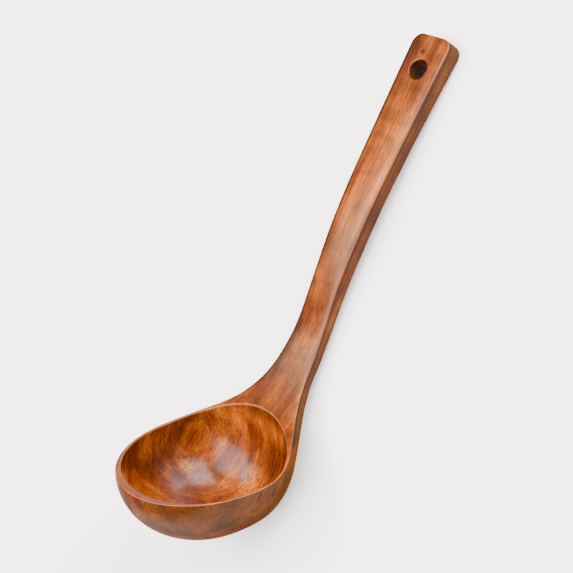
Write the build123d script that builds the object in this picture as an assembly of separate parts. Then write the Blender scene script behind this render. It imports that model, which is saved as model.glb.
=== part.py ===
from build123d import *
import math
import os

# Soup ladle carved from wood, in millimetres. It is worked out with its rim level: from the widest place
# of the rim, +Z up, the handle rising towards +X and Y across. At the end it is tipped back to lie on a
# table, on its bowl's back and its handle's end, with the origin on the table under its middle.

# Bowl
bowl_width = 88.0
bowl_depth = 43.0
tip_reach = 53.6
lip_at_side = 1.0
lip_at_tip = 4.2
floor_wall = 4.0
sides_ahead = 3.0
sides_behind = 5.0
lip_round = 0.35

# Front line, the ladle's front seen from the side, from the widest place of the rim to the handle's end
rim_flat = 4.2
rise_radius = 56.0
rise_angle = 41.5
neck_radius = 133.0
neck_angle = 25.7
lean_radius = 394.0
lean_angle = 12.5
grip_length = 79.5

# Root, the flare that runs from the bowl into the handle
root_length = 58.0
root_land = 17.5
root_width = 33.2
root_thickness = 8.7

# Handle
throat_width = 20.8
throat_thickness = 8.2
end_width = 28.0
end_thickness = 13.4
corner_radius = 7.0
front_round = 1.0
back_round = 3.0

# Hanging hole
hole_diameter = 11.6
hole_from_end = 20.5
hole_round = 0.8

# Sections of the flare: place along the root, then how far the width and the depth still are
# from the root's own towards the bowl's, then how much of the half section is round
flare_shares = (
    (-0.21, 0.958, 0.967, 0.985),
    (0.0, 1.0, 1.0, 0.985),
    (0.21, 0.958, 0.975, 0.97),
    (0.41, 0.78, 0.76, 0.95),
    (0.59, 0.51, 0.40, 0.84),
    (0.76, 0.25, 0.15, 0.60),
    (0.89, 0.10, 0.05, 0.42),
)
widest_share = 0.985

# Places along the handle, from its root to its end: where it is narrowest and thinnest,
# and past there how far it has widened and thickened towards the end
narrowest_share = 0.25
thinnest_share = 0.12
widening_shares = ((0.45, 0.29), (0.67, 0.59), (0.85, 0.83), (1.0, 1.0))
thickening_shares = ((0.3, 0.33), (0.5, 0.48), (0.75, 0.6), (1.0, 1.0))

# Places from the widest place of the rim to its tip, at which the side lip's width is kept
side_lip_shares = (0.0, 0.1, 0.2, 0.3, 0.4, 0.5, 0.6)

# Cuts run past the wood by this much, and edges this close to a line of the side view lie on it
overrun = bowl_width
spare = 2.0
touch = 0.05

# The angle at which the ladle lies down is found to within this many degrees
resting_step = 0.0005


def front_line():
    """Flat rim, rising arc, neck, backward lean and straight grip, each tangent to the one before."""
    rim = Line((0, 0), (rim_flat, 0))
    rise = JernArc(rim @ 1, rim % 1, rise_radius, rise_angle)
    neck = JernArc(rise @ 1, rise % 1, neck_radius, neck_angle)
    lean = JernArc(neck @ 1, neck % 1, lean_radius, -lean_angle)
    grip = Line(lean @ 1, lean @ 1 + (lean % 1) * grip_length)
    return Wire([rim.edge(), rise.edge(), neck.edge(), lean.edge(), grip.edge()])


front = front_line()
handle_length = front.length - root_length


def front_plane(place):
    """The plane square to the front line at a length along it, its own y axis pointing out of the front."""
    share = max(place, 0) / front.length
    here, along = front.position_at(share), front.tangent_at(share)
    return Plane(
        origin=(here.X + min(place, 0), 0, here.Y), x_dir=(0, 1, 0), z_dir=(along.X, 0, along.Y)
    )


def in_side_view(point):
    """A point of the side view as it is drawn flat: X stays and Z becomes the flat Y."""
    return (point.X, point.Z)


def sawn_across(outline):
    """The outline drawn in the side view, sawn right across the ladle."""
    return extrude(Plane.XZ.offset(-overrun) * Face(outline), 2 * overrun, dir=(0, -1, 0))


def round_back(half_width, depth, corner_width, corner_depth, top):
    """Half a section: side, round corner and back, down from top to the middle line."""
    side = Line((half_width, top), (half_width, corner_depth - depth))
    corner = EllipticalCenterArc(
        (half_width - corner_width, corner_depth - depth), corner_width, corner_depth, 0, arc_size=-90
    )
    back = Line(corner @ 1, (0, -depth))
    return Wire([side.edge(), corner.edge(), back.edge()])


def flare_section(place, half_width, depth, corner_width, corner_depth):
    half = round_back(half_width, depth, corner_width, corner_depth, spare)
    front_edge = Line((-half_width, spare), (half_width, spare))
    outline = Wire(front_edge.edges() + half.edges() + half.mirror(Plane.YZ).edges())
    return front_plane(place) * Face(outline)


def flare():
    """The cup's rear half, drawn in and up to the handle's root, under the front line."""
    sections = []
    for place_share, width_share, depth_share, round_share in flare_shares:
        half_width = (root_width + (bowl_width - root_width) * width_share) / 2
        depth = root_thickness + (bowl_depth - root_thickness) * depth_share
        sections.append(
            flare_section(
                place_share * root_length, half_width, depth, round_share * half_width, round_share * depth
            )
        )
    sections.append(
        flare_section(root_length, root_width / 2, root_thickness, back_round, back_round)
    )
    ahead = Pos(-overrun / 2, 0, 0) * Box(overrun, 2 * overrun, 2 * overrun)
    return loft(sections) - ahead - above_front()


def above_front():
    """The air in front of the front line."""
    start = front @ 0 - Vector(overrun, 0)
    end = front @ 1
    corner = Vector(start.X, end.Y)
    lines = [Line(start, front @ 0), Line(end, corner), Line(corner, start)]
    return sawn_across(Wire(front.edges() + [line.edge() for line in lines]))


def front_half():
    """The cup towards its tip: the widest section turned about the upright axis and drawn out."""
    half_width = bowl_width / 2
    half = round_back(half_width, bowl_depth, widest_share * half_width, widest_share * bowl_depth, 0)
    middle = Line((0, -bowl_depth), (0, 0))
    rim = Line((0, 0), (half_width, 0))
    outline = Wire(half.edges() + middle.edges() + rim.edges())
    turned = revolve(Plane.YZ * Face(outline), Axis.Z, 180)
    return scale(turned, by=(tip_reach / half_width, 1, 1))


def hollow_half_width():
    """Half the hollow's width, as wide as the side lip lets it be along the cup's front half and the flare."""
    ahead, behind = tip_reach - lip_at_tip - sides_ahead, root_length - root_land - sides_behind
    half_widths = []
    for share in side_lip_shares:
        beside_lip = bowl_width / 2 * math.sqrt(1 - share ** 2) - lip_at_side
        past_sides = max(share * tip_reach - sides_ahead, 0) / ahead
        half_widths.append(beside_lip / math.sqrt(1 - past_sides ** 2))
    for place_share, width_share, _, _ in flare_shares:
        place = front_plane(place_share * root_length).origin.X
        beside_lip = (root_width + (bowl_width - root_width) * width_share) / 2 - lip_at_side
        past_sides = (place - sides_behind) / behind
        if 0 < past_sides < 1:
            half_widths.append(beside_lip / math.sqrt(1 - past_sides ** 2))
    return min(half_widths)


def hollow():
    """The outline turned about the ladle's length and pressed to depth, and carried up through the rim."""
    half_width = hollow_half_width()
    ahead = tip_reach - lip_at_tip - sides_ahead
    behind = root_length - root_land - sides_behind
    side = Line((-sides_ahead, half_width), (sides_behind, half_width))
    heel = EllipticalCenterArc((sides_behind, 0), behind, half_width, 0, arc_size=90)
    tip = EllipticalCenterArc((-sides_ahead, 0), ahead, half_width, 90, arc_size=90)
    half = Wire([heel.edge(), side.edge(), tip.edge()])
    turned = revolve(Face(Wire(half.edges() + Line(tip @ 1, heel @ 0).edges())), Axis.X)
    cup = scale(turned, by=(1, 1, (bowl_depth - floor_wall) / half_width))
    mouth = Face(Wire(half.edges() + half.mirror(Plane.XZ).edges()))
    return cup + extrude(mouth, bowl_depth, dir=(0, 0, 1))


def lip_edges(bowl):
    """The rim's outer and inner edges: those over the front line that don't run along a face's seam."""
    rim_line = Wire(Line(front @ 0 - Vector(tip_reach, 0), front @ 0).edges() + front.edges())
    chosen = []
    for edge in bowl.edges():
        middle = edge @ 0.5
        if rim_line.distance_to(Vertex(*in_side_view(middle))) < touch and edge.geom_type != GeomType.LINE:
            chosen.append(edge)
    return chosen


def make_bowl():
    bowl = front_half() + flare() - hollow()
    return fillet(lip_edges(bowl), lip_round)


def along_handle(at_root, least_share, least, growth_shares, at_end):
    """A size of the handle in (place, size) pairs: from the root down to the least, then up to the end's."""
    sizes = [(0, at_root), (least_share, least)]
    for place_share, growth in growth_shares:
        sizes.append((place_share, least + (at_end - least) * growth))
    return sizes


def side_blank():
    """The handle sawn to its side profile: the front line, and a back line that follows the thickness."""
    thicknesses = along_handle(
        root_thickness, thinnest_share, throat_thickness, thickening_shares, end_thickness
    )
    back_points = []
    for place_share, thickness in thicknesses:
        plane = front_plane(root_length + place_share * handle_length)
        back_points.append(in_side_view(plane.origin - plane.y_dir * thickness))
    start, end = front.position_at(root_length / front.length), front @ 1
    lines = [Line(end, back_points[-1]), Spline(back_points), Line(back_points[0], start)]
    front_edges = front.trim(root_length / front.length, 1).edges()
    return sawn_across(Wire(front_edges + [line.edge() for line in lines]))


def front_blank(face_plane):
    """The handle sawn to its outline seen from the front, with rounded end corners."""
    widths = along_handle(root_width, narrowest_share, throat_width, widening_shares, end_width)
    edge_points = []
    for place_share, width in widths:
        spot = face_plane.to_local_coords(front_plane(root_length + place_share * handle_length).origin)
        edge_points.append((width / 2, spot.Y))
    right = Spline(edge_points)
    foot = Line(right @ 0 - Vector(0, root_thickness), right @ 0)
    half = Wire([foot.edge(), right.edge()])
    top = Line((-end_width / 2, edge_points[-1][1]), (end_width / 2, edge_points[-1][1]))
    base = Line((-root_width / 2, (foot @ 0).Y), (root_width / 2, (foot @ 0).Y))
    outline = Face(Wire(half.edges() + half.mirror(Plane.YZ).edges() + top.edges() + base.edges()))
    outline = outline.fillet_2d(corner_radius, outline.vertices().group_by(Axis.Y)[-1])
    return extrude(face_plane * outline, overrun, both=True)


def perimeter_edges(bar, nearest, farthest):
    """The bar's edges, all round but for its root, that lie between two distances behind the front line."""
    root_plane, end_plane = front_plane(root_length), front_plane(front.length)
    chosen = []
    for edge in bar.edges():
        middle = edge @ 0.5
        behind = front.distance_to(Vertex(*in_side_view(middle)))
        off_middle = abs(middle.Y) > touch
        at_end = abs(end_plane.to_local_coords(middle).Z) < touch
        at_root = abs(root_plane.to_local_coords(middle).Z) < touch
        if nearest <= behind <= farthest and (off_middle or at_end) and not at_root:
            chosen.append(edge)
    return chosen


def make_handle():
    end_plane = front_plane(front.length)
    face_plane = Plane(origin=end_plane.origin, x_dir=(0, -1, 0), z_dir=end_plane.y_dir)
    bar = side_blank() & front_blank(face_plane)
    thinnest = min(throat_thickness, root_thickness)
    bar = fillet(perimeter_edges(bar, thinnest - spare, overrun), back_round)
    bar = fillet(perimeter_edges(bar, 0, touch), front_round)
    hole_place = front_plane(front.length - hole_from_end)
    hole_plane = Plane(origin=hole_place.origin, x_dir=(0, -1, 0), z_dir=hole_place.y_dir)
    bar -= hole_plane * Cylinder(hole_diameter / 2, 2 * overrun)
    mouths = [edge for edge in bar.edges() if edge.is_closed]
    return fillet(mouths, hole_round)


def tipped_back(angle, piece):
    return Rot(0, angle, 0) * piece


def resting_angle(bowl, handle):
    """How far the ladle tips back to lie down: there, bowl and handle reach equally low."""
    least, most = 0.0, 90.0
    while most - least > resting_step:
        angle = (least + most) / 2
        bowl_foot = tipped_back(angle, bowl).bounding_box().min.Z
        handle_foot = tipped_back(angle, handle).bounding_box().min.Z
        if handle_foot > bowl_foot:
            least = angle
        else:
            most = angle
    return most


bowl = make_bowl()
handle = make_handle()

rest = resting_angle(bowl, handle)
bowl, handle = tipped_back(rest, bowl), tipped_back(rest, handle)
box = bowl.bounding_box().add(handle.bounding_box())
on_table = Pos(-box.center().X, -box.center().Y, -box.min.Z)

os.makedirs("parts", exist_ok=True)
export_step(on_table * bowl, "parts/bowl.step")
export_step(on_table * handle, "parts/handle.step")
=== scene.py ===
import math

import bmesh
import bpy
from mathutils import Matrix, Vector


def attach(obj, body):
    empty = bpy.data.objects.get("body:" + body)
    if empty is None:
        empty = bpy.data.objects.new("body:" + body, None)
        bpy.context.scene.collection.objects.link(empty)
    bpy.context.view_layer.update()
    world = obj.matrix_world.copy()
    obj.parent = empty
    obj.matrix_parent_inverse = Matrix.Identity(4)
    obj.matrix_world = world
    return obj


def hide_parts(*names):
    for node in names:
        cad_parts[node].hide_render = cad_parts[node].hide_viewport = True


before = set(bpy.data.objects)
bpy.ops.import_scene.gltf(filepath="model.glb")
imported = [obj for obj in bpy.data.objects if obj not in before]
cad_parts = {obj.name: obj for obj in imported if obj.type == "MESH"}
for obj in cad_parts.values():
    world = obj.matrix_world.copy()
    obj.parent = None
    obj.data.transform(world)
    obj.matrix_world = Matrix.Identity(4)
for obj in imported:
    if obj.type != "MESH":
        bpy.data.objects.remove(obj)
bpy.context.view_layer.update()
bpy.ops.object.select_all(action="DESELECT")

# --------------------------------------------------------------------------------------------------
# Ladle: one piece of reddish-brown wood, carved from a billet whose grain runs along the handle.
# The bowl is hollowed to a thin lip, and its back is drawn up in a flare into a flat-faced bar.
# It is sanded, stained and lacquered. It is shaped in millimetres, rim level, and then laid down.
# --------------------------------------------------------------------------------------------------


def bent(radius, degrees):
    """A run of the front line round a radius: its length and its bend, back if below zero."""
    return abs(radius) * math.radians(degrees), 1 / radius


# The front line seen from the side, from the widest place of the rim: lengths, each with its bend
front_runs = ((4.2, 0.0), bent(56.0, 41.5), bent(133.0, 25.7), bent(-394.0, 12.5), (79.5, 0.0))
front_length = sum(length for length, bend in front_runs)
root_place = 58.0
tip_reach = 53.6
widest = 44.0
back_round = 3.0

# Half widths, depths and the two sizes of the back's round corner, by place along the front line
half_widths = (
    (0.0, widest), (12.2, 42.85), (23.8, 37.97), (34.2, 30.57), (44.1, 23.45), (51.6, 19.34),
    (root_place, 16.6), (83.0, 11.9), (111.0, 10.4), (153.3, 11.44), (200.0, 12.52), (238.1, 13.39),
    (front_length, 14.0),
)
depths = (
    (0.0, 43.0), (12.2, 42.14), (23.8, 34.77), (34.2, 22.42), (44.1, 13.85), (51.6, 10.42),
    (root_place, 8.7), (83.4, 8.2), (121.6, 9.92), (163.9, 10.7), (216.9, 11.32),
    (front_length, 13.4),
)
corner_widths = (
    (0.0, 43.34), (12.2, 41.56), (23.8, 36.07), (34.2, 25.68), (44.1, 14.07), (51.6, 8.12),
    (root_place, 3.6), (66.0, back_round), (front_length, back_round),
)
corner_depths = (
    (0.0, 42.35), (12.2, 40.88), (23.8, 33.03), (34.2, 18.83), (44.1, 8.31), (51.6, 4.37),
    (root_place, 3.2), (66.0, back_round), (front_length, back_round),
)
front_edges = ((0.0, 0.4), (44.0, 0.4), (75.0, 1.0), (front_length, 1.0))
crowns = ((0.0, 0.0), (root_place, 0.0), (90.0, 0.45), (front_length, 0.45))


def eased(table, place):
    """The value that a table gives at a place, on a smooth curve through its points."""
    at = 1
    while at < len(table) - 1 and place > table[at][0]:
        at += 1
    (a, low), (b, high) = table[at - 1], table[at]

    def slope(k):
        if k == 0:
            return 0.0
        before = table[k][0] - table[k - 1][0]
        left = (table[k][1] - table[k - 1][1]) / before
        if k == len(table) - 1:
            return left
        after = table[k + 1][0] - table[k][0]
        right = (table[k + 1][1] - table[k][1]) / after
        reach = table[k + 1][0] - table[k - 1][0]
        return (left * after + right * before) / reach

    run = b - a
    t = (place - a) / run
    return (
        low * (1 + 2 * t) * (1 - t) ** 2
        + high * t * t * (3 - 2 * t)
        + run * slope(at - 1) * t * (1 - t) ** 2
        - run * slope(at) * t * t * (1 - t)
    )


def on_front(place):
    """Where the front line is at a length along it, and how steeply it climbs there."""
    x, z, climb = 0.0, 0.0, 0.0
    left = place
    for length, bend in front_runs:
        step = min(max(left, 0.0), length)
        turn = step * bend
        chord = step * math.sin(turn / 2) / (turn / 2) if turn else step
        x += chord * math.cos(climb + turn / 2)
        z += chord * math.sin(climb + turn / 2)
        climb += turn
        left -= length
    return x, z, climb


# The rim is looked up on the front line by halving, as far as this place well behind it
past_rim = 120.0
halvings = 30


def front_height(x):
    """The height of the front line over a place on the level rim's line."""
    if x <= front_runs[0][0]:
        return 0.0
    low, high = 0.0, past_rim
    for halving in range(halvings):
        place = (low + high) / 2
        if on_front(place)[0] < x:
            low = place
        else:
            high = place
    return on_front(low)[1]


def off_front(place, across, out):
    """A point beside the front line: so far across the ladle, and so far out of its front."""
    x, z, climb = on_front(place)
    return Vector((x - math.sin(climb) * out, across, z + math.cos(climb) * out))


# Columns of a half section: 3 for the front edge's round, then 24 down the side and round to the
# back. They are even round the cup, and 8 each for side, corner and back where it has squared up
edge_columns = 3
body_columns = 24
back_columns = 8
squaring_from = 24.0
squaring_over = 40.0


def half_section(place):
    """A half section's points, from the front face round the edge and down to the back's middle."""
    half_width, depth = eased(half_widths, place), eased(depths, place)
    corner_width = min(eased(corner_widths, place), half_width)
    corner_depth = min(eased(corner_depths, place), depth)
    edge = eased(front_edges, place)
    points = []
    for k in range(edge_columns + 1):
        turn = math.pi / 2 * k / edge_columns
        points.append((half_width - edge + edge * math.sin(turn), edge * math.cos(turn) - edge))
    side = depth - corner_depth - edge
    arc = math.pi / 2 * math.sqrt((corner_width ** 2 + corner_depth ** 2) / 2)
    back = half_width - corner_width
    whole = side + arc + back
    squareness = min(max((place - squaring_from) / squaring_over, 0.0), 1.0)
    squareness = squareness * squareness * (3 - 2 * squareness)
    for k in range(1, body_columns + 1):
        even = k / body_columns
        corner_end = body_columns - back_columns
        if k <= back_columns:
            fitted = side / whole * k / back_columns
        elif k <= corner_end:
            fitted = (side + arc * (k - back_columns) / back_columns) / whole
        else:
            fitted = (side + arc + back * (k - corner_end) / back_columns) / whole
        run = whole * (even + (fitted - even) * squareness)
        if run <= side:
            points.append((half_width, -edge - run))
        elif run <= side + arc:
            turn = math.pi / 2 * (run - side) / arc
            across = back + corner_width * math.cos(turn)
            points.append((across, corner_depth - depth - corner_depth * math.sin(turn)))
        else:
            points.append((half_width - corner_width - (run - side - arc), -depth))
    return points


# The cup's front half: half of the widest section, spun about the upright axis and drawn out to
# the tip. Places nearer to each other than a hair are taken as one
hair = 0.001
cup_steps = 48
bpy.ops.mesh.primitive_circle_add(
    vertices=2 * (edge_columns + body_columns + 1), radius=widest, fill_type="NOTHING",
)
ladle = bpy.context.object
ladle.name = "ladle"
ladle.data.name = "ladle"
bpy.ops.object.mode_set(mode="EDIT")
bpy.ops.mesh.select_mode(type="VERT")


def sketch():
    return bmesh.from_edit_mesh(ladle.data)


def redraw():
    bmesh.update_edit_mesh(ladle.data)


def pick(wanted):
    """Selects the corners that are wanted, with the edges between them, and nothing else."""
    bpy.ops.mesh.select_all(action="DESELECT")
    shape = sketch()
    for vertex in shape.verts:
        if wanted(vertex):
            vertex.select_set(True)
    shape.select_flush(True)
    redraw()


shape = sketch()
column = shape.verts.layers.int.new("column")
ring = sorted(shape.verts, key=lambda v: math.atan2(v.co.y, v.co.x) % (2 * math.pi))
section = half_section(0.0)
for number, vertex in enumerate(ring):
    if number <= edge_columns + body_columns:
        vertex[column] = number + 1
        vertex.co = off_front(0.0, *section[number])
redraw()
pick(lambda vertex: vertex[column] == 0)
bpy.ops.mesh.delete(type="VERT")
bpy.ops.mesh.select_all(action="SELECT")
bpy.ops.mesh.spin(steps=cup_steps, angle=-math.pi, center=(0, 0, 0), axis=(0, 0, 1))
bpy.ops.mesh.select_all(action="SELECT")
bpy.ops.mesh.remove_doubles(threshold=hair / 2)
bpy.ops.transform.resize(value=(tip_reach / widest, 1, 1), center_override=(0, 0, 0))

# The flare: the open edge of the cup is pulled back row by row, each laid on its section. Columns
# on the near side of the middle carry a minus sign
pick(lambda vertex: abs(vertex.co.x) < hair)
shape = sketch()
column = shape.verts.layers.int["column"]
for vertex in shape.verts:
    if vertex.select and vertex.co.y < -hair:
        vertex[column] = -vertex[column]
redraw()


def pull_row():
    """Extrudes the selected row of edges and leaves the new row selected."""
    bpy.ops.mesh.extrude_edges_move(TRANSFORM_OT_translate={"value": (0, 0, 0)})


flare_rows = 24
for row in range(1, flare_rows + 1):
    pull_row()
    shape = sketch()
    column = shape.verts.layers.int["column"]
    place = root_place * row / flare_rows
    section = half_section(place)
    for vertex in shape.verts:
        if vertex.select:
            across, out = section[abs(vertex[column]) - 1]
            vertex.co = off_front(place, math.copysign(across, vertex[column]), out)
    redraw()

# At the root the row is closed across the front, where the handle's flat face begins. The face's
# own columns are numbered after 100
face_start = 100
face_columns = 20
shape = sketch()
column = shape.verts.layers.int["column"]
row_edges = [edge for edge in shape.edges if edge.select]
ends = [vertex for vertex in shape.verts if vertex.select and abs(vertex[column]) == 1]
joined = shape.edges.new(ends)
across_face = bmesh.ops.subdivide_edges(shape, edges=[joined], cuts=face_columns - 1)["geom_inner"]
strip = sorted([v for v in across_face if isinstance(v, bmesh.types.BMVert)], key=lambda v: v.co.y)
for number, vertex in enumerate(strip):
    vertex[column] = face_start + 1 + number
for edge in shape.edges:
    if edge in row_edges or max(vertex[column] for vertex in edge.verts) > face_start:
        edge.select_set(True)
redraw()

# The handle: rows along it, closer round the hanging hole and at the end, where the outline's two
# corners are round. The face's crown is nearly flat in the middle and falls away at its edges
handle_length = front_length - root_place
hole_from_end = 20.5
hole_block = 8.3
to_block = handle_length - hole_from_end - hole_block
long_rows = 46
hole_rows = 10
end_rows = (10.4, 8.6, 7.0, 5.7, 4.5, 3.4, 2.5, 1.7, 1.05, 0.55, 0.2, 0.0)
rows = [to_block * k / long_rows for k in range(1, long_rows + 1)]
rows += [to_block + 2 * hole_block * k / hole_rows for k in range(1, hole_rows + 1)]
rows += [handle_length - left for left in end_rows]
end_corner = 7.0
crown_power = 4


def sunk(inset, radius):
    """How far a rounded edge lies under its face, so far in from the edge."""
    return radius - math.sqrt(max(radius ** 2 - max(radius - inset, 0.0) ** 2, 0.0))


for run in rows:
    pull_row()
    place = root_place + run
    to_end = handle_length - run
    section = half_section(place)
    half_width, depth = eased(half_widths, place), eased(depths, place)
    edge, crown = eased(front_edges, place), eased(crowns, place)
    corner = max(end_corner - to_end, 0.0)
    narrowed = half_width - (end_corner - math.sqrt(end_corner ** 2 - corner ** 2))
    shape = sketch()
    column = shape.verts.layers.int["column"]
    for vertex in shape.verts:
        if not vertex.select:
            continue
        number = vertex[column]
        if number > face_start:
            share = 2 * (number - face_start) / face_columns - 1
            across, out = share * (half_width - edge), 0.0
        else:
            across, out = section[abs(number) - 1]
            across = math.copysign(across, number)
        across *= narrowed / half_width
        if to_end < end_corner:
            sideways = abs(across) - (half_width - end_corner)
            if sideways > 0:
                inset = end_corner - math.hypot(sideways, end_corner - to_end)
            else:
                inset = to_end
            front_out, back_out = -sunk(inset, edge), sunk(inset, back_round) - depth
            if number > face_start or abs(number) <= edge_columns:
                out = front_out
            elif abs(number) >= edge_columns + 1 + back_columns:
                out = back_out
            else:
                share = (abs(number) - edge_columns - 1) / back_columns
                out = front_out + (back_out - front_out) * share
        if number > face_start or abs(number) <= edge_columns + 1:
            out -= crown * (abs(across) / half_width) ** crown_power
        vertex.co = off_front(place, across, out)
    redraw()
bpy.ops.mesh.edge_face_add()

# The lip: the open loop round the rim is picked, and each of its corners leads one sector of the
# hollow. Front edges are marked for painted light: a painted highlight on the edge's round near the
# bowl and all along the near side, and painted shade at the face's far edge and just under its near
# one
highlight_columns = (2, 3)
highlight_fade_over = 30
near_highlight = 0.95
edge_shade_columns = (1, 2, -4, -5, -6, face_start + face_columns - 1)
edge_shade_above = 5.0
bpy.ops.mesh.select_all(action="DESELECT")
bpy.ops.mesh.select_mode(type="EDGE")
bpy.ops.mesh.select_non_manifold(
    extend=False, use_wire=False, use_multi_face=False, use_non_contiguous=False, use_verts=False,
)
bpy.ops.mesh.select_mode(type="VERT")
shape = sketch()
sector = shape.verts.layers.int.new("sector")
edge_light_land_shade = shape.verts.layers.float.new("edge_light_land_shade")
edge_shade = shape.verts.layers.float.new("edge_shade")
column = shape.verts.layers.int["column"]
outer = []
for vertex in shape.verts:
    if abs(vertex[column]) in highlight_columns:
        least = 0.0 if vertex[column] > 0 else near_highlight
        vertex[edge_light_land_shade] = min(max((root_place - vertex.co.x) / highlight_fade_over, least), 1.0)
    if vertex[column] in edge_shade_columns and vertex.co.z > edge_shade_above:
        vertex[edge_shade] = 1.0
    if vertex.select:
        outer.append(vertex.co.copy())
        vertex[sector] = len(outer)
redraw()

# The hollow: the loop is pulled in over the lip's land, round its inner edge and down the wall. In
# plan it is two half ellipses joined by short straight sides, and it deepens on an ellipse too
sides_from, sides_to = -3.0, 5.0
length_ahead = 46.4
length_behind = 35.5
hollow_width = 42.7
hollow_depth = 39.0
hollow_mean = 41.0
wall_turn = math.radians(58)
inner_edge = 0.4
nearby = 0.5
land_rows = 4
round_rows = 3
wall_rows = 14


def pull_loop(spots, painted_rim_light):
    """Extrudes the selected loop, puts each new corner on its spot and gives it its painted rim
    light: a highlight above zero, shade below.
    """
    pull_row()
    shape = sketch()
    sector = shape.verts.layers.int["sector"]
    edge_light_land_shade, edge_shade = shape.verts.layers.float["edge_light_land_shade"], shape.verts.layers.float["edge_shade"]
    for vertex in shape.verts:
        if vertex.select:
            vertex.co = spots[vertex[sector] - 1]
            vertex[edge_light_land_shade], vertex[edge_shade] = painted_rim_light, 0.0
    redraw()


def from_middle(x):
    """The place on the hollow's straight sides nearest to x, and the hollow's length from it."""
    return min(max(x, sides_from), sides_to), length_ahead if x < sides_from else length_behind


over_land, round_edge, down_wall = [], [], []
for corner in outer:
    middle, hollow_length = from_middle(corner.x)
    away = Vector((corner.x - middle, corner.y))
    reach = math.hypot(away.x / hollow_length, away.y / hollow_width)
    rim = Vector((middle + away.x / reach, away.y / reach, 0.0))
    rim.z = front_height(rim.x)
    square = Vector((away.x / hollow_length ** 2, away.y / hollow_width ** 2, 0.0)).normalized()
    climb = (front_height(rim.x + nearby) - front_height(rim.x - nearby)) / (2 * nearby)
    outwards = (square + Vector((0, 0, climb * square.x))).normalized()
    opening = outwards.angle(Vector((0, 0, -1)))
    reach_back = inner_edge * math.tan((math.pi - opening) / 2)
    start, end = rim + outwards * reach_back, rim - Vector((0, 0, reach_back))
    spots = []
    for k in range(1, land_rows + 1):
        spot = corner.lerp(start, k / land_rows)
        spot.z = front_height(spot.x) if k < land_rows else start.z
        spots.append(spot)
    over_land.append(spots)
    weight = math.sin(opening / 2)
    spots = []
    for k in range(1, round_rows + 1):
        t = k / round_rows
        parts = ((1 - t) ** 2, 2 * t * (1 - t) * weight, t * t)
        spots.append((start * parts[0] + rim * parts[1] + end * parts[2]) / sum(parts))
    round_edge.append(spots)
    turned = math.asin(max(-end.z, 0.0) / hollow_depth)
    upright = max(end.z, 0.0)
    whole = upright + hollow_mean * (wall_turn - turned)
    spots = []
    for k in range(1, wall_rows + 1):
        run = whole * k / wall_rows
        if run < upright:
            spots.append(Vector((rim.x, rim.y, end.z - run)))
        else:
            turn = turned + (run - upright) / hollow_mean
            drawn_in = math.cos(turn)
            spots.append(Vector((
                middle + (rim.x - middle) * drawn_in,
                rim.y * drawn_in,
                -hollow_depth * math.sin(turn),
            )))
    down_wall.append(spots)
# The land is marked for painted shade, the inner edge's round for a painted highlight, and the wall
# for neither
for sectors, painted_rim_light in ((over_land, -1.0), (round_edge, 1.0), (down_wall, 0.0)):
    for k in range(len(sectors[0])):
        pull_loop([spots[k] for spots in sectors], painted_rim_light)

# The hollow's floor is filled with a grid that is laid on the same round
floor_span = 29
bpy.ops.mesh.fill_grid(span=floor_span, offset=0)
shape = sketch()
edge_shade = shape.verts.layers.float["edge_shade"]
for vertex in shape.verts:
    if vertex.select:
        vertex[edge_shade] = 0.0
        middle, hollow_length = from_middle(vertex.co.x)
        aside = ((vertex.co.x - middle) / hollow_length) ** 2 + (vertex.co.y / hollow_width) ** 2
        vertex.co.z = -hollow_depth * math.sqrt(1 - aside)
redraw()

# The hanging hole: a block of faces is opened on the front and on the back of the handle, drawn to
# a circle, rounded over at the mouth and run through to the middle, where the two halves are joined
hole_radius = 5.8
mouth_round = 0.8
flat_ring = 0.5
mouth_rows = 4
bore_shares = (0.3, 0.65, 1.0)
block_width = 7.9
face_slack = 1.5
seam_turn = 0.01
joined_within = 0.01
hole_place = front_length - hole_from_end
hole_depth = eased(depths, hole_place)
hole_spot = off_front(hole_place, 0, 0)
hole_out = off_front(hole_place, 0, 1) - hole_spot
hole_along = Vector((0, 1, 0)).cross(hole_out)


def at_face(spot, face_out):
    """Whether a spot, taken from the hole, lies at a face that is so far out of the front."""
    return abs(spot.dot(hole_out) - face_out) < face_slack


def round_hole(vertex):
    """How far round the hole a corner lies; the small turn keeps the one at zero first."""
    along_handle = (vertex.co - hole_spot).dot(hole_along)
    return (math.atan2(vertex.co.y, along_handle) + seam_turn) % (2 * math.pi)


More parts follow.
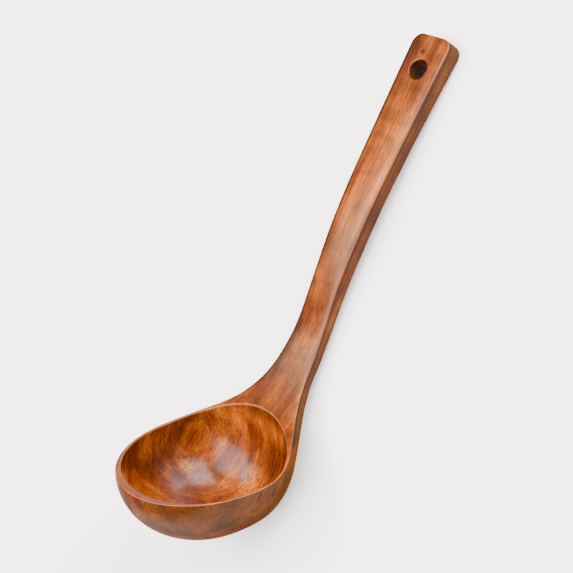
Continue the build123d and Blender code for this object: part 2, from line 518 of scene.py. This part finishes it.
for face_out, inwards in ((0.0, -1), (-hole_depth, 1)):
    bpy.ops.mesh.select_mode(type="FACE")
    bpy.ops.mesh.select_all(action="DESELECT")
    shape = sketch()
    for face in shape.faces:
        spot = face.calc_center_median() - hole_spot
        in_block = abs(spot.dot(hole_along)) < hole_block and abs(spot.y) < block_width
        if in_block and at_face(spot, face_out):
            face.select_set(True)
    redraw()
    bpy.ops.mesh.delete(type="FACE")
    bpy.ops.mesh.select_mode(type="VERT")
    pick(lambda vertex: vertex.is_boundary and at_face(vertex.co - hole_spot, face_out))
    shape = sketch()
    turn_number = shape.verts.layers.int.get("turn") or shape.verts.layers.int.new("turn")
    loop = sorted([vertex for vertex in shape.verts if vertex.select], key=round_hole)
    for number, vertex in enumerate(loop):
        vertex[turn_number] = number
    corners = len(loop)
    redraw()
    circles = [(hole_radius + mouth_round + flat_ring, 0.0), (hole_radius + mouth_round, 0.0)]
    for k in range(1, mouth_rows + 1):
        turn = math.pi / 2 * k / mouth_rows
        wider, under = mouth_round * (1 - math.sin(turn)), mouth_round * (1 - math.cos(turn))
        circles.append((hole_radius + wider, under))
    for share in bore_shares:
        circles.append((hole_radius, mouth_round + (hole_depth / 2 - mouth_round) * share))
    for radius, under in circles:
        pull_row()
        shape = sketch()
        turn_number = shape.verts.layers.int["turn"]
        for vertex in shape.verts:
            if vertex.select:
                turn = 2 * math.pi * vertex[turn_number] / corners
                beside = hole_along * (radius * math.cos(turn))
                beside = beside + Vector((0, radius * math.sin(turn), 0))
                vertex.co = hole_spot + beside + hole_out * (face_out + inwards * under)
        redraw()
bpy.ops.mesh.select_all(action="SELECT")
bpy.ops.mesh.remove_doubles(threshold=joined_within)
bpy.ops.mesh.normals_make_consistent(inside=False)

# It is brought to metres, tipped back to lie on the table, and smoothed once more
millimetre = 0.001
rest_angle = math.radians(58.2296)
table_middle = Vector((-105.621, 0.0, 45.6197))
shape = sketch()
to_metres = Matrix.Scale(millimetre, 4)
lay_down = to_metres @ Matrix.Translation(table_middle) @ Matrix.Rotation(rest_angle, 4, "Y")
bmesh.ops.transform(shape, matrix=lay_down, verts=shape.verts)
redraw()
bpy.ops.object.mode_set(mode="OBJECT")
smoothing = ladle.modifiers.new("smoothing", "SUBSURF")
smoothing.levels = 1
smoothing.render_levels = 1
bpy.ops.object.modifier_apply(modifier=smoothing.name)
bpy.ops.object.shade_smooth()

# The finish: orange to red-brown figure along the grain, soft dark blotches, fine fibres and dark
# pores in drifts, under a clear coat that has settled a little unevenly. From here sizes are metres
wood = bpy.data.materials.new("lacquered wood")
wood.use_nodes = True
tree = wood.node_tree
lacquer = tree.nodes["Principled BSDF"]


def put(kind, settings, **inputs):
    """Adds a node: settings are its own, inputs are numbers, colours or the outputs to join."""
    node = tree.nodes.new(kind)
    for name, value in settings.items():
        setattr(node, name, value)
    for name, value in inputs.items():
        numbered = name[1:].isdigit()
        socket = node.inputs[int(name[1:]) if numbered else name.replace("_", " ")]
        if isinstance(value, bpy.types.NodeSocket):
            tree.links.new(value, socket)
        else:
            socket.default_value = value
    return node


spot_on_wood = put("ShaderNodeTexCoord", {}).outputs["Object"]
board_lean, board_skew = math.radians(56), math.radians(2)


def clouds(length, width, height, shift, detail=2.0, rough=0.5, swirl=0.0):
    """Soft noise so long along the grain, so wide in the growth layers, so high through them."""
    in_board = put(
        "ShaderNodeMapping", {"vector_type": "TEXTURE"}, Vector=spot_on_wood,
        Location=(shift, shift * 1.7, shift * 0.6), Rotation=(board_lean, board_skew, 0),
        Scale=(length, width, height),
    )
    noise = put(
        "ShaderNodeTexNoise", {}, Vector=in_board.outputs["Vector"], Scale=1.0, Detail=detail,
        Roughness=rough, Distortion=swirl,
    )
    return noise.outputs["Fac"]


def band(value, low, high, to_low=0.0, to_high=1.0):
    """The share of the way from low to high, as a value between two others."""
    spread = put(
        "ShaderNodeMapRange", {"interpolation_type": "SMOOTHSTEP"}, Value=value, From_Min=low,
        From_Max=high, To_Min=to_low, To_Max=to_high,
    )
    return spread.outputs["Result"]


def tinted(under, over, share, how="MIX"):
    """One colour laid over another by a share."""
    settings = {"data_type": "RGBA", "blend_type": how}
    return put("ShaderNodeMix", settings, n0=share, n6=under, n7=over).outputs[2]


def product(one, other):
    return put("ShaderNodeMath", {"operation": "MULTIPLY"}, n0=one, n1=other).outputs[0]


def either_way(value):
    """A direction's part along one axis, whichever way it points."""
    return put("ShaderNodeMath", {"operation": "ABSOLUTE"}, n0=value).outputs[0]


def reach_along(spot, direction):
    """How far a spot lies out in a direction."""
    node = put("ShaderNodeVectorMath", {"operation": "DOT_PRODUCT"}, n0=spot, n1=direction)
    return node.outputs["Value"]


# The figure: growth layers that lean over in the board, with broader clouds between them
dark_layer = (0.053, 0.010, 0.0015, 1)
red_layer = (0.110, 0.022, 0.002, 1)
brown_layer = (0.190, 0.042, 0.0025, 1)
orange_layer = (0.30, 0.080, 0.004, 1)
layers = clouds(0.110, 0.0130, 0.0038, 4.47, detail=3.0, swirl=0.5)
broad = clouds(0.048, 0.0190, 0.0170, 33.2, swirl=0.6)
mixed = put("ShaderNodeMix", {}, n0=0.62, n2=layers, n3=broad).outputs[0]
figure = put("ShaderNodeValToRGB", {}, Fac=mixed)
stops = figure.color_ramp.elements
stops[0].position, stops[0].color = 0.36, dark_layer
stops[1].position, stops[1].color = 0.64, orange_layer
stops.new(0.45).color = red_layer
stops.new(0.54).color = brown_layer
ripple = band(clouds(0.0095, 0.022, 0.030, 17.2, detail=1.0, swirl=0.5), 0.36, 0.64, 0.78, 1.16)
fibre = band(clouds(0.030, 0.0012, 0.0007, 1.3, detail=4.0, rough=0.65), 0.35, 0.65, 0.74, 1.20)
fine_layers = band(clouds(0.060, 0.020, 0.0009, 8.8), 0.36, 0.64, 0.86, 1.12)

# Tone by place: end grain takes the stain darker. Painted shade darkens the sides and the bowl's
# back, where less light falls. The root and handle are painted darker than the bowl, which gets
# less light. The handle's middle is painted lighter as a sheen, and its end darker again
cup_middle = (-0.1056, 0, 0.0456)
out_of_rim = (0.85016, 0, 0.52652)
facing = put("ShaderNodeTexCoord", {}).outputs["Normal"]
facing_parts = put("ShaderNodeSeparateXYZ", {}, Vector=facing).outputs
end_grain, sideways = either_way(facing_parts["X"]), either_way(facing_parts["Y"])
from_cup = put("ShaderNodeVectorMath", {"operation": "SUBTRACT"}, n0=spot_on_wood, n1=cup_middle)
outside = reach_along(facing, from_cup.outputs["Vector"])
over_rim = reach_along(spot_on_wood, out_of_rim)
along = put("ShaderNodeSeparateXYZ", {}, Vector=spot_on_wood).outputs["X"]
# End grain takes the stain darker; the sides and the bowl's outside get painted shade
end_stain_side_shade = product(band(end_grain, 0.60, 1.0, 1.0, 0.62), band(sideways, 0.40, 0.95, 1.0, 0.43))
end_stain_side_shade = product(end_stain_side_shade, band(outside, 0.005, 0.040, 1.0, 0.76))
# Painted light and shade along the handle: lighter in its middle as a painted sheen, darker at its
# end, and darker from the root up than the less lit bowl
painted_handle_light = product(band(along, -0.060, -0.015, 1.0, 1.46), band(along, 0.060, 0.130, 1.0, 0.62))
painted_handle_light = product(band(over_rim, -0.066, -0.054, 0.99, 0.54), painted_handle_light)
light = product(product(ripple, product(fibre, fine_layers)), product(end_stain_side_shade, painted_handle_light))
light = put("ShaderNodeCombineColor", {}, Red=light, Green=light, Blue=light).outputs[0]
# The base colour from here on carries the figure and stain together with painted shade and painted
# light
stain_and_painted_light = tinted(figure.outputs["Color"], light, 1.0, "MULTIPLY")

# Yellower brown on the bowl's outside, then the blotches, and the pores in their drifts
side_brown = (0.052, 0.024, 0.003, 1)
back_brown = (0.060, 0.028, 0.004, 1)
blotch_brown = (0.040, 0.009, 0.004, 1)
pore_brown = (0.012, 0.004, 0.003, 1)
cup_side = product(band(sideways, 0.50, 0.95, 0.0, 0.20), band(outside, -0.002, 0.006))
stain_and_painted_light = tinted(stain_and_painted_light, side_brown, cup_side)
stain_and_painted_light = tinted(stain_and_painted_light, back_brown, band(outside, 0.005, 0.040, 0.0, 0.18))
blotch = band(clouds(0.017, 0.010, 0.010, 18.3, rough=0.55, swirl=0.4), 0.52, 0.70)
stain_and_painted_light = tinted(stain_and_painted_light, blotch_brown, product(blotch, 0.40))
drift = band(clouds(0.040, 0.016, 0.016, 12.4), 0.38, 0.55, 0.30, 1.0)
pores = band(clouds(0.0065, 0.0007, 0.0006, 5.9, detail=1.0), 0.605, 0.67)
stain_and_painted_light = tinted(stain_and_painted_light, pore_brown, product(product(pores, drift), 0.9))

# Small dark spots, by middle, size and strength: one near the hanging hole and three under the lip
# on the bowl's near side. The last one is painted shade inside the hanging hole
mark_and_hole_shade_brown = (0.014, 0.005, 0.004, 1)
marks_and_hole_shade = (
    ((0.1419, 0.0024, 0.0137), (0.0018, 0.0014, 0.0014), 0.9),
    ((-0.1102, -0.0438, 0.0441), (0.0042, 0.0007, 0.0007), 0.9),
    ((-0.1059, -0.0432, 0.0343), (0.0030, 0.0012, 0.0012), 0.85),
    ((-0.1005, -0.0436, 0.0400), (0.0012, 0.0009, 0.0009), 0.8),
    ((0.1313, 0.0, 0.0081), (0.0064, 0.0064, 0.0044), 0.75),
)
for middle, size, strength in marks_and_hole_shade:
    in_mark = put(
        "ShaderNodeMapping", {"vector_type": "TEXTURE"}, Vector=spot_on_wood, Location=middle,
        Scale=size,
    )
    away = put("ShaderNodeVectorMath", {"operation": "LENGTH"}, n0=in_mark.outputs["Vector"])
    stain_and_painted_light = tinted(stain_and_painted_light, mark_and_hole_shade_brown, band(away.outputs["Value"], 0.5, 1.3, strength, 0.0))

# The marked edges: painted shade along the face's edges, a painted highlight on the rounded edges,
# and painted shade on the lip's land as far as the rim is level
edge_shade_brown = (0.016, 0.0055, 0.0012, 1)
painted_highlight_brown = (0.42, 0.17, 0.080, 1)
land_shade_brown = (0.060, 0.014, 0.004, 1)
edge_shade = put("ShaderNodeAttribute", {"attribute_name": "edge_shade"}).outputs["Fac"]
stain_and_painted_light = tinted(stain_and_painted_light, edge_shade_brown, band(edge_shade, 0.35, 0.95, 0.0, 0.70))
edge_light_land_shade = put("ShaderNodeAttribute", {"attribute_name": "edge_light_land_shade"}).outputs["Fac"]
stain_and_painted_light = tinted(stain_and_painted_light, painted_highlight_brown, band(edge_light_land_shade, 0.85, 1.0, 0.0, 0.32))
flat_rim = band(over_rim, -0.064, -0.056, 1.0, 0.0)
stain_and_painted_light = tinted(stain_and_painted_light, land_shade_brown, product(band(edge_light_land_shade, -0.9, -0.3, 0.65, 0.0), flat_rim))
tree.links.new(stain_and_painted_light, lacquer.inputs["Base Color"])

# The clear coat follows the settled surface and the pores. It is weaker where it is seen at a
# slant, and thinner on the sides and underneath, so that it doesn't mirror the pale table
settled = put(
    "ShaderNodeBump", {}, Strength=0.25, Distance=0.0006,
    Height=clouds(0.016, 0.009, 0.009, 9.2, detail=1.0),
)
grained = put(
    "ShaderNodeBump", {"invert": True}, Strength=0.3, Distance=0.00012, Height=pores,
    Normal=settled.outputs["Normal"],
)
glancing = put("ShaderNodeLayerWeight", {}, Blend=0.5).outputs["Facing"]
underneath = band(facing_parts["Z"], -0.45, 0.35, 0.48, 1.0)
thinner = product(underneath, band(sideways, 0.35, 0.90, 1.0, 0.42))
coat = product(band(glancing, 0.28, 0.75, 0.50, 0.11), thinner)
tree.links.new(grained.outputs["Normal"], lacquer.inputs["Normal"])
tree.links.new(grained.outputs["Normal"], lacquer.inputs["Coat Normal"])
tree.links.new(coat, lacquer.inputs["Coat Weight"])
lacquer.inputs["Coat Roughness"].default_value = 0.22
lacquer.inputs["Coat IOR"].default_value = 1.5
lacquer.inputs["Roughness"].default_value = 0.4
lacquer.inputs["Specular IOR Level"].default_value = 0.0
ladle.data.materials.append(wood)
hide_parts("bowl", "handle")
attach(ladle, "root")

# --------------------------------------------------------------------------------------------------
# Table: a plain pale table top under the ladle, one flat sheet with a matt finish. It runs out of
# the picture on every side.
# --------------------------------------------------------------------------------------------------
bpy.ops.object.select_all(action="DESELECT")
bpy.ops.mesh.primitive_plane_add(size=12.0, location=(0, 0, 0))
table = bpy.context.object
table.name = "table"
table.data.name = "table"
pale = bpy.data.materials.new("pale table top")
pale.use_nodes = True
matt = pale.node_tree.nodes["Principled BSDF"]
matt.inputs["Base Color"].default_value = (0.82, 0.885, 0.95, 1)
matt.inputs["Roughness"].default_value = 0.8
table.data.materials.append(pale)

# --------------------------------------------------------------------------------------------------
# Studio: a large soft box overhead, a tall one off the handle's end like a window, a small warm
# reflector behind the ladle, and an even white light from the room.
# --------------------------------------------------------------------------------------------------


def soft_box(name, direction, distance, size, power, colour, turn=0.0):
    """A soft box of so much width and height that faces the ladle from a direction."""
    light = bpy.data.lights.new(name, "AREA")
    light.shape = "RECTANGLE"
    light.size, light.size_y = size
    light.energy = power
    light.color = colour
    lamp = bpy.data.objects.new(name, light)
    outwards = Vector(direction).normalized()
    lamp.location = outwards * distance
    lamp.rotation_euler = outwards.to_track_quat("Z", "Y").to_euler()
    lamp.rotation_euler.rotate_axis("Z", math.radians(turn))
    bpy.context.scene.collection.objects.link(lamp)


soft_box("overhead box", (-0.17, -0.06, 0.96), 1.6, (1.65, 2.0), 135, (1.0, 0.91, 0.86))
soft_box("tall window box", (0.77, -0.48, 0.42), 1.6, (1.2, 1.4), 140, (1.0, 0.82, 0.77))
soft_box("warm reflector", (0.0, 0.53, 0.85), 1.8, (0.75, 0.6), 32, (1.0, 0.66, 0.38), turn=-24)

world = bpy.data.worlds.new("white room")
world.use_nodes = True
room_light = world.node_tree.nodes["Background"]
room_light.inputs["Color"].default_value = (0.90, 0.96, 1.0, 1)
room_light.inputs["Strength"].default_value = 0.45
bpy.context.scene.world = world

# --------------------------------------------------------------------------------------------------
# Camera: a long lens that looks steeply down over the bowl and along the handle. It is placed
# against the ladle with its rim level, and is tipped back together with it.
# --------------------------------------------------------------------------------------------------
upright_shift = Vector((-59.7204, 0.0, 43.1415))
upright_eye = Vector((-475.9, -551.9, 472.0))
tipped_back = Matrix.Rotation(rest_angle, 3, "Y")
seen_from = tipped_back @ (upright_eye - upright_shift) + table_middle
forward = tipped_back @ Vector((0.587, 0.686, -0.429))
right = tipped_back @ Vector((0.758, -0.653, -0.006))
up = right.cross(forward).normalized()
right = forward.cross(up).normalized()
camera = bpy.data.objects.new("camera", bpy.data.cameras.new("camera"))
camera.data.lens = 93.8
camera.data.sensor_width = 36.0
camera.location = seen_from / 1000
camera.rotation_euler = Matrix((right, up, -forward.normalized())).transposed().to_euler()
bpy.context.scene.collection.objects.link(camera)
bpy.context.scene.camera = camera
